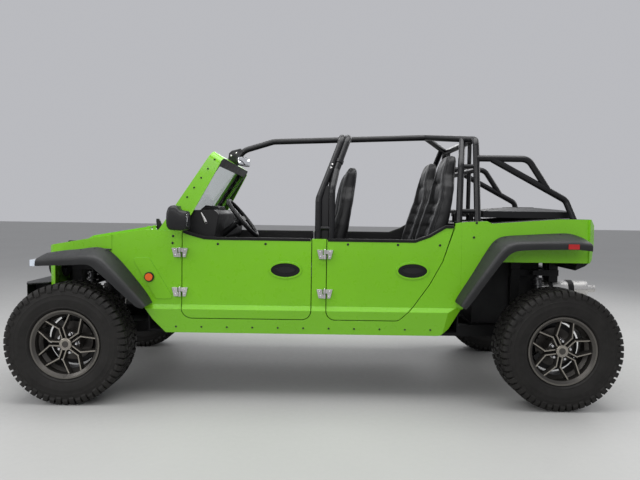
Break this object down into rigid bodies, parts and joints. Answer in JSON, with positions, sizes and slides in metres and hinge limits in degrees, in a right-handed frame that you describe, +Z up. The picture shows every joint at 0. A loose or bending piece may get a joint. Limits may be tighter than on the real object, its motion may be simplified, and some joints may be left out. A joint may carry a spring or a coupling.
{
  "type": "utility terrain vehicle",
  "caption": "Open four-door off-road buggy: lime body, black tube cage, flared arches, bucket seats and lugged tyres on alloy wheels; wheels, steering, doors, hood and deck cover move.",
  "frame": {"origin": "centre of the bounding box's underside, on the floor midway between the axles", "axes": "+X towards the tail, +Y towards the vehicle's right side, +Z up"},
  "size_m": [3.83, 1.64, 1.7549],
  "materials": {
    "body_paint": "gloss",
    "frame_black": "satin",
    "cage_black": "satin",
    "trim_plastic": "textured matt",
    "interior_plastic": "matt",
    "seat_cover": "semi-matt",
    "tyre_rubber": "matt",
    "alloy": "machined",
    "suspension_metal": "satin",
    "engine_metal": "rough",
    "exhaust_steel": "brushed",
    "lamp_lens": "clear gloss",
    "tail_lens": "red gloss",
    "glass_pane": "clear"
  },
  "bodies": {
    "base": {"body_shell": "body_paint", "body_tub": "interior_plastic", "cab_hoop": "cage_black", "chassis_frame": "frame_black", "controls": "frame_black", "dashboard": "interior_plastic", "engine_block": "engine_metal", "flare_front_left": "trim_plastic", "flare_front_right": "trim_plastic", "flare_rear_left": "trim_plastic", "flare_rear_right": "trim_plastic", "front_bumper": "trim_plastic", "front_clip": "body_paint", "front_lamps": "lamp_lens", "front_suspension": "suspension_metal", "front_towers": "frame_black", "mirrors": "trim_plastic", "muffler": "exhaust_steel", "rear_braces": "cage_black", "rear_cage": "cage_black", "rear_lamps": "tail_lens", "rear_shell": "body_paint", "rear_suspension": "suspension_metal", "rear_towers": "frame_black", "roof_spine": "cage_black", "seat_front_left": "seat_cover", "seat_front_right": "seat_cover", "seat_rear_left": "seat_cover", "seat_rear_right": "seat_cover", "windshield_frame": "body_paint", "windshield_glass": "glass_pane"},
    "wheel_front_left_body": {"wheel_front_left": "alloy", "tyre_front_left": "tyre_rubber"},
    "wheel_front_right_body": {"wheel_front_right": "alloy", "tyre_front_right": "tyre_rubber"},
    "wheel_rear_left_body": {"wheel_rear_left": "alloy", "tyre_rear_left": "tyre_rubber"},
    "wheel_rear_right_body": {"wheel_rear_right": "alloy", "tyre_rear_right": "tyre_rubber"},
    "knuckle_left_body": {"knuckle_left": "suspension_metal"},
    "door_front_left_body": {"door_front_left": "body_paint"},
    "door_rear_left_body": {"door_rear_left": "body_paint"},
    "knuckle_right_body": {"knuckle_right": "suspension_metal"},
    "door_front_right_body": {"door_front_right": "body_paint"},
    "door_rear_right_body": {"door_rear_right": "body_paint"},
    "steering_wheel_body": {"steering_wheel": "interior_plastic"},
    "hood_body": {"hood": "body_paint"},
    "deck_cover_body": {"deck_cover": "trim_plastic"}
  },
  "joints": [
    {"name": "wheel_front_left_spin", "type": "hinge", "parent": "knuckle_left_body", "child": "wheel_front_left_body", "pos_m": [-1.49, -0.7025, 0.367], "axis": [0, 1, 0], "continuous": true},
    {"name": "wheel_front_right_spin", "type": "hinge", "parent": "knuckle_right_body", "child": "wheel_front_right_body", "pos_m": [-1.49, 0.7025, 0.367], "axis": [0, 1, 0], "continuous": true},
    {"name": "wheel_rear_left_spin", "type": "hinge", "parent": "base", "child": "wheel_rear_left_body", "pos_m": [1.49, -0.7025, 0.367], "axis": [0, 1, 0], "continuous": true},
    {"name": "wheel_rear_right_spin", "type": "hinge", "parent": "base", "child": "wheel_rear_right_body", "pos_m": [1.49, 0.7025, 0.367], "axis": [0, 1, 0], "continuous": true},
    {"name": "steer_left", "type": "hinge", "parent": "base", "child": "knuckle_left_body", "pos_m": [-1.49, -0.622, 0.367], "axis": [0, 0, 1], "range_deg": [-26, 26]},
    {"name": "steer_right", "type": "hinge", "parent": "base", "child": "knuckle_right_body", "pos_m": [-1.49, 0.622, 0.367], "axis": [0, 0, 1], "range_deg": [-26, 26]},
    {"name": "steering_wheel_turn", "type": "hinge", "parent": "base", "child": "steering_wheel_body", "pos_m": [-0.502, -0.3, 1.131], "axis": [0.7705, 0, 0.6374], "range_deg": [-392, 392]},
    {"name": "door_front_left_hinge", "type": "hinge", "parent": "base", "child": "door_front_left_body", "pos_m": [-0.836, -0.677, 0.8], "axis": [0, 0, 1], "range_deg": [-65, 0]},
    {"name": "door_front_right_hinge", "type": "hinge", "parent": "base", "child": "door_front_right_body", "pos_m": [-0.836, 0.677, 0.8], "axis": [0, 0, 1], "range_deg": [0, 65]},
    {"name": "door_rear_left_hinge", "type": "hinge", "parent": "base", "child": "door_rear_left_body", "pos_m": [0.059, -0.677, 0.8], "axis": [0, 0, 1], "range_deg": [-65, 0]},
    {"name": "door_rear_right_hinge", "type": "hinge", "parent": "base", "child": "door_rear_right_body", "pos_m": [0.059, 0.677, 0.8], "axis": [0, 0, 1], "range_deg": [0, 65]},
    {"name": "hood_hinge", "type": "hinge", "parent": "base", "child": "hood_body", "pos_m": [-1.035, 0, 1.07], "axis": [0, 1, 0], "range_deg": [0, 50]},
    {"name": "deck_cover_hinge", "type": "hinge", "parent": "base", "child": "deck_cover_body", "pos_m": [1.078, 0, 1.173], "axis": [0, 1, 0], "range_deg": [-30, 0]}
  ],
  "couplings": [
    {"joint": "steer_right", "follows": "steer_left", "ratio": 1},
    {"joint": "steering_wheel_turn", "follows": "steer_left", "ratio": 15}
  ]
}
